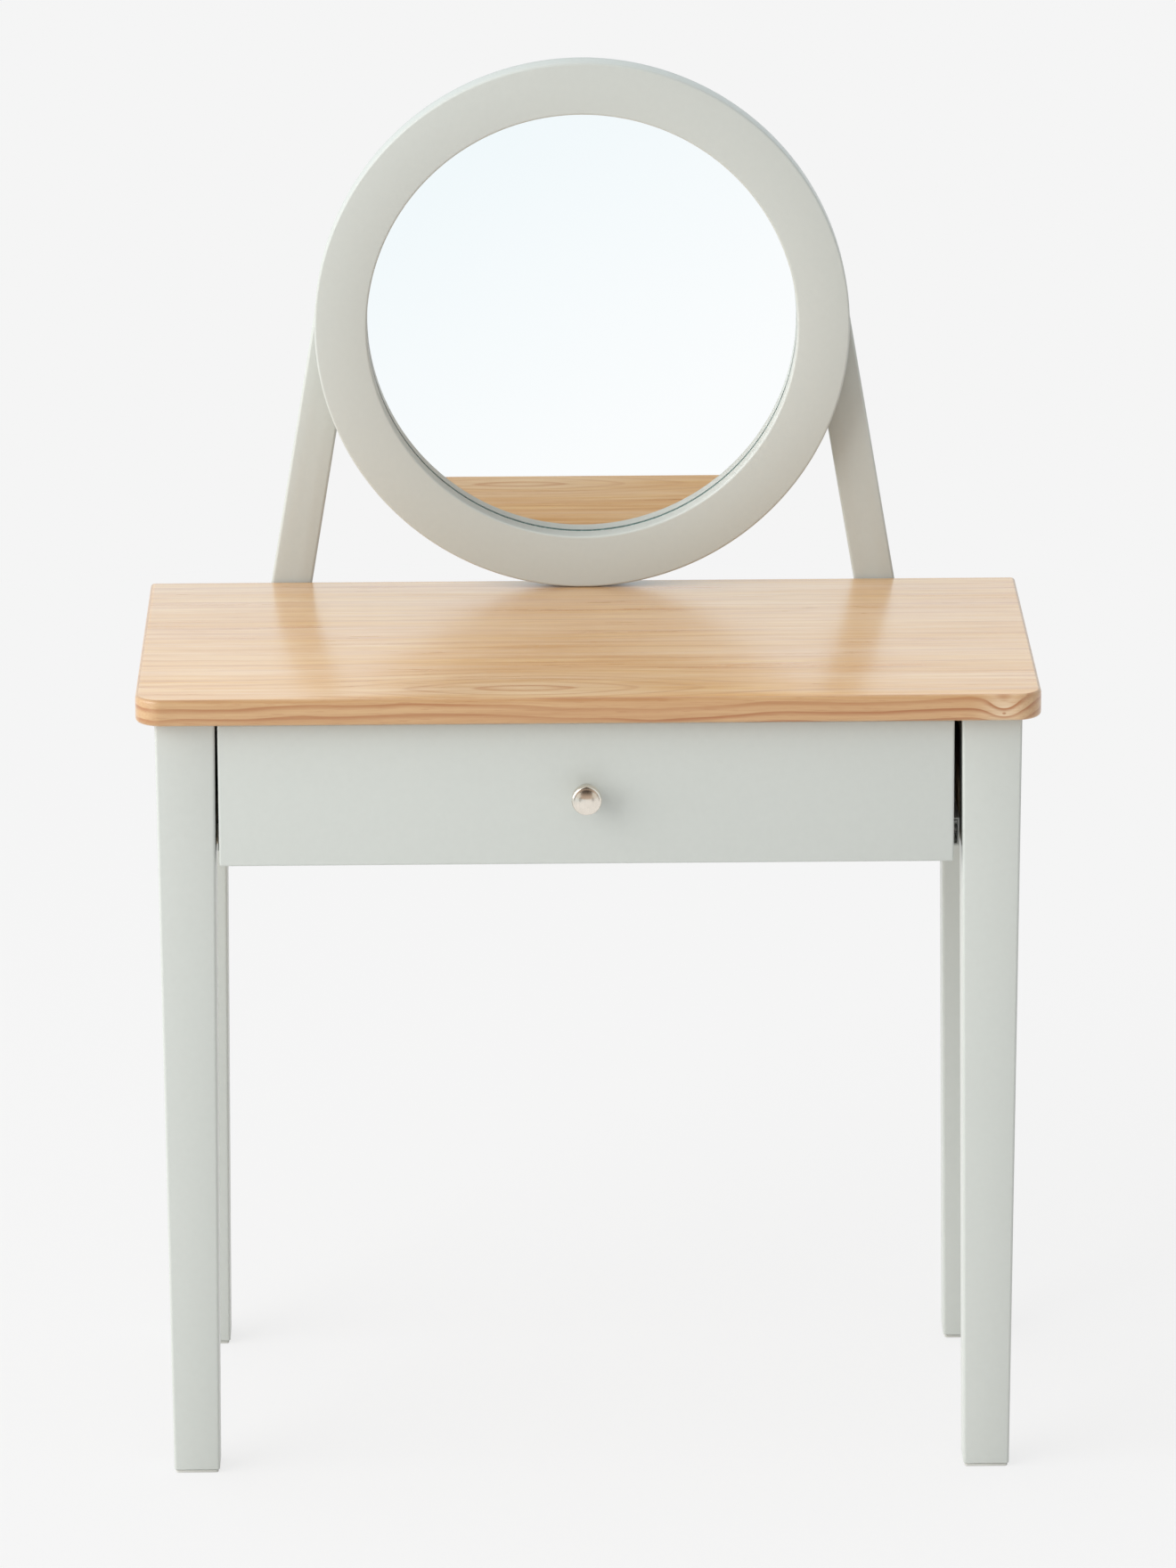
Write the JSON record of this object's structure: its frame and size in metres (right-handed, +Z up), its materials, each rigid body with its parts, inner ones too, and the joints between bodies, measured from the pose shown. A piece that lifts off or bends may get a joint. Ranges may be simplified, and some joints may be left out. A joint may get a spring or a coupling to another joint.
{
  "type": "dressing table",
  "caption": "Child's dressing table: oak top on tapered painted legs, a drawer with a round metal knob on roller slides, and a fixed round mirror between leaning posts.",
  "frame": {"origin": "on the floor, at the middle of the whole object's box", "axes": "+Z up; +X to the right seen from the front; the front faces -Y, so the drawer opens and the mirror looks towards -Y"},
  "size_m": [0.6, 0.3476, 0.9143],
  "materials": {
    "painted_wood": "satin grey-green paint",
    "oak": "clear satin lacquer",
    "drawer_birch": "clear matt lacquer",
    "hardboard": "bare",
    "brushed_nickel": "brushed nickel plate",
    "zinc_steel": "zinc plate",
    "slide_enamel": "pale enamel",
    "roller_nylon": "moulded nylon",
    "mirror_silver": "silvered float glass",
    "glide_pad": "moulded, matt"
  },
  "bodies": {
    "table": {"table_top": "oak", "leg_front_left": "painted_wood", "leg_front_right": "painted_wood", "leg_rear_left": "painted_wood", "leg_rear_right": "painted_wood", "glide_front_left": "glide_pad", "glide_front_right": "glide_pad", "glide_rear_left": "glide_pad", "glide_rear_right": "glide_pad", "apron_left": "painted_wood", "apron_right": "painted_wood", "apron_rear": "painted_wood", "slide_batten_left": "drawer_birch", "slide_batten_right": "drawer_birch", "top_block_front_left": "drawer_birch", "top_block_front_right": "drawer_birch", "top_block_rear_left": "drawer_birch", "top_block_rear_right": "drawer_birch", "cam_left_front": "zinc_steel", "cam_left_rear": "zinc_steel", "cam_right_front": "zinc_steel", "cam_right_rear": "zinc_steel", "cam_rear_apron_left": "zinc_steel", "cam_rear_apron_right": "zinc_steel", "cabinet_rail_left": "slide_enamel", "cabinet_rail_right": "slide_enamel", "mirror_frame": "painted_wood", "mirror_glass": "mirror_silver", "mirror_backing": "hardboard", "post_left": "painted_wood", "post_right": "painted_wood", "ring_bolt_upper_left": "zinc_steel", "ring_bolt_upper_right": "zinc_steel", "ring_bolt_lower_left": "zinc_steel", "ring_bolt_lower_right": "zinc_steel", "apron_bolt_upper_left": "zinc_steel", "apron_bolt_upper_right": "zinc_steel", "apron_bolt_lower_left": "zinc_steel", "apron_bolt_lower_right": "zinc_steel", "backing_clip_top": "zinc_steel", "backing_clip_left": "zinc_steel", "backing_clip_right": "zinc_steel", "clip_screw_top": "zinc_steel", "clip_screw_left": "zinc_steel", "clip_screw_right": "zinc_steel"},
    "drawer": {"drawer_front": "painted_wood", "knob": "brushed_nickel", "knob_screw": "zinc_steel", "drawer_side_left": "drawer_birch", "drawer_side_right": "drawer_birch", "drawer_back": "drawer_birch", "drawer_bottom": "drawer_birch", "drawer_rail_left": "slide_enamel", "drawer_rail_right": "slide_enamel"},
    "front_roller_left": {"cabinet_roller_left": "roller_nylon"},
    "front_roller_right": {"cabinet_roller_right": "roller_nylon"},
    "rear_roller_left": {"drawer_roller_left": "roller_nylon"},
    "rear_roller_right": {"drawer_roller_right": "roller_nylon"}
  },
  "joints": [
    {"name": "drawer_slide", "type": "slide", "parent": "table", "child": "drawer", "axis": [0, -1, 0], "range_m": [0, 0.18]},
    {"name": "front_roller_left_spin", "type": "hinge", "parent": "table", "child": "front_roller_left", "pos_m": [-0.24125, -0.12055, 0.4425], "axis": [1, 0, 0], "range_deg": [0, 1475]},
    {"name": "front_roller_right_spin", "type": "hinge", "parent": "table", "child": "front_roller_right", "pos_m": [0.24125, -0.12055, 0.4425], "axis": [1, 0, 0], "range_deg": [0, 1475]},
    {"name": "rear_roller_left_spin", "type": "hinge", "parent": "drawer", "child": "rear_roller_left", "pos_m": [-0.24125, 0.09945, 0.4425], "axis": [1, 0, 0], "range_deg": [0, 1475]},
    {"name": "rear_roller_right_spin", "type": "hinge", "parent": "drawer", "child": "rear_roller_right", "pos_m": [0.24125, 0.09945, 0.4425], "axis": [1, 0, 0], "range_deg": [0, 1475]}
  ],
  "couplings": [
    {"joint": "front_roller_left_spin", "follows": "drawer_slide", "rad_per_m": 142.86},
    {"joint": "front_roller_right_spin", "follows": "drawer_slide", "rad_per_m": 142.86},
    {"joint": "rear_roller_left_spin", "follows": "drawer_slide", "rad_per_m": 142.86},
    {"joint": "rear_roller_right_spin", "follows": "drawer_slide", "rad_per_m": 142.86}
  ]
}
